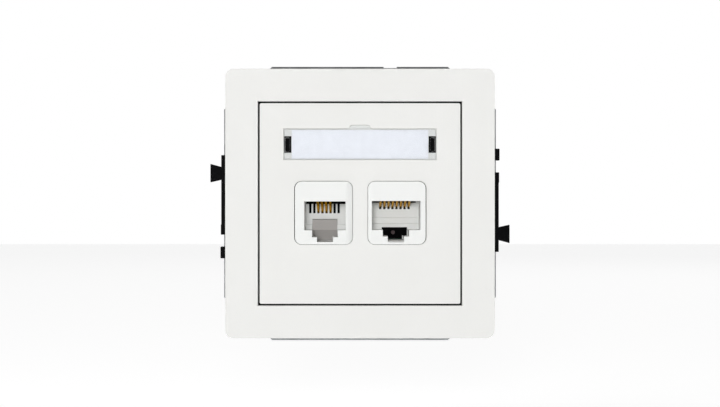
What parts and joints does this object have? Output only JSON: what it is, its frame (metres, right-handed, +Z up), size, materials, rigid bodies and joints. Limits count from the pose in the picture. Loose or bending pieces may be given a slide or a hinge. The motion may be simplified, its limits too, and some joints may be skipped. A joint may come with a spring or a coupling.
{
  "type": "telephone and data wall outlet",
  "caption": "Flush square wall outlet with a telephone jack, a data jack, a label holder and spreading claws, on a pressed steel support plate.",
  "frame": {"origin": "centre of the support plate's back face, in the plane of the wall and on the axis of the 60 mm installation box", "axes": "+Y into the wall, front faces -Y, +X to the right and +Z up as seen from the room"},
  "size_m": [0.0744, 0.0346, 0.0684],
  "materials": {
    "white_plastic": "satin moulded",
    "jack_white": "satin moulded",
    "clear_plastic": "clear polished",
    "paper": "uncoated paper",
    "black_plastic": "moulded, fine grain",
    "grey_plastic": "moulded",
    "terminal_plastic": "moulded",
    "galvanised_steel": "galvanised sheet",
    "zinc_plated_steel": "bright zinc",
    "gold_plated_bronze": "gold flash",
    "tinned_bronze": "tinned",
    "circuit_board": "solder mask"
  },
  "bodies": {
    "support": {"support_plate": "galvanised_steel", "module_carrier": "black_plastic", "coupler_left": "black_plastic", "coupler_right": "black_plastic", "claw_pin_top": "zinc_plated_steel", "claw_pin_bottom": "zinc_plated_steel", "rj11_housing": "jack_white", "rj11_contact_block": "black_plastic", "rj11_latch_block": "grey_plastic", "rj11_contact_1": "gold_plated_bronze", "rj11_contact_2": "gold_plated_bronze", "rj11_contact_3": "gold_plated_bronze", "rj11_contact_4": "gold_plated_bronze", "rj11_pcb": "circuit_board", "rj11_idc_block": "terminal_plastic", "rj11_idc_blade_1": "tinned_bronze", "rj11_idc_blade_2": "tinned_bronze", "rj11_idc_blade_3": "tinned_bronze", "rj11_idc_blade_4": "tinned_bronze", "rj45_housing": "jack_white", "rj45_contact_block": "black_plastic", "rj45_contact_1": "gold_plated_bronze", "rj45_contact_2": "gold_plated_bronze", "rj45_contact_3": "gold_plated_bronze", "rj45_contact_4": "gold_plated_bronze", "rj45_contact_5": "gold_plated_bronze", "rj45_contact_6": "gold_plated_bronze", "rj45_contact_7": "gold_plated_bronze", "rj45_contact_8": "gold_plated_bronze", "rj45_pcb": "circuit_board", "rj45_idc_block": "terminal_plastic", "rj45_idc_blade_1": "tinned_bronze", "rj45_idc_blade_2": "tinned_bronze", "rj45_idc_blade_3": "tinned_bronze", "rj45_idc_blade_4": "tinned_bronze", "rj45_idc_blade_5": "tinned_bronze", "rj45_idc_blade_6": "tinned_bronze", "rj45_idc_blade_7": "tinned_bronze", "rj45_idc_blade_8": "tinned_bronze"},
    "cover": {"outer_frame": "white_plastic"},
    "insert": {"centre_insert": "white_plastic", "label_card": "paper"},
    "window": {"label_window": "clear_plastic"},
    "top_screw": {"claw_screw_top": "zinc_plated_steel"},
    "top_nut": {"claw_nut_top": "zinc_plated_steel"},
    "top_claw": {"claw_top": "galvanised_steel"},
    "bottom_screw": {"claw_screw_bottom": "zinc_plated_steel"},
    "bottom_nut": {"claw_nut_bottom": "zinc_plated_steel"},
    "bottom_claw": {"claw_bottom": "galvanised_steel"},
    "telephone_cap": {"rj11_cap": "terminal_plastic"},
    "data_cap": {"rj45_cap": "terminal_plastic"}
  },
  "joints": [
    {"name": "cover_pull", "type": "slide", "parent": "support", "child": "cover", "axis": [0, -1, 0], "range_m": [0, 0.012]},
    {"name": "insert_pull", "type": "slide", "parent": "support", "child": "insert", "axis": [0, -1, 0], "range_m": [0, 0.014]},
    {"name": "window_pull", "type": "slide", "parent": "insert", "child": "window", "axis": [0, -1, 0], "range_m": [0, 0.006]},
    {"name": "top_screw_turn", "type": "hinge", "parent": "support", "child": "top_screw", "pos_m": [0, 0, 0.021], "axis": [0, 1, 0], "range_deg": [0, 1800]},
    {"name": "top_nut_travel", "type": "slide", "parent": "support", "child": "top_nut", "axis": [0, -1, 0], "range_m": [0, 0.0025]},
    {"name": "top_claw_swing", "type": "hinge", "parent": "support", "child": "top_claw", "pos_m": [0, 0.0044, 0.017], "axis": [1, 0, 0], "range_deg": [0, 35]},
    {"name": "bottom_screw_turn", "type": "hinge", "parent": "support", "child": "bottom_screw", "pos_m": [0, 0, -0.021], "axis": [0, 1, 0], "range_deg": [0, 1800]},
    {"name": "bottom_nut_travel", "type": "slide", "parent": "support", "child": "bottom_nut", "axis": [0, -1, 0], "range_m": [0, 0.0025]},
    {"name": "bottom_claw_swing", "type": "hinge", "parent": "support", "child": "bottom_claw", "pos_m": [0, 0.0044, -0.017], "axis": [-1, 0, 0], "range_deg": [0, 35]},
    {"name": "telephone_cap_pull", "type": "slide", "parent": "support", "child": "telephone_cap", "axis": [0, 1, 0], "range_m": [0, 0.008]},
    {"name": "data_cap_pull", "type": "slide", "parent": "support", "child": "data_cap", "axis": [0, 1, 0], "range_m": [0, 0.008]}
  ],
  "couplings": [
    {"joint": "top_screw_turn", "follows": "top_nut_travel", "rad_per_m": 12566},
    {"joint": "top_claw_swing", "follows": "top_nut_travel", "rad_per_m": 242.3},
    {"joint": "bottom_screw_turn", "follows": "bottom_nut_travel", "rad_per_m": 12566},
    {"joint": "bottom_claw_swing", "follows": "bottom_nut_travel", "rad_per_m": 242.3}
  ]
}
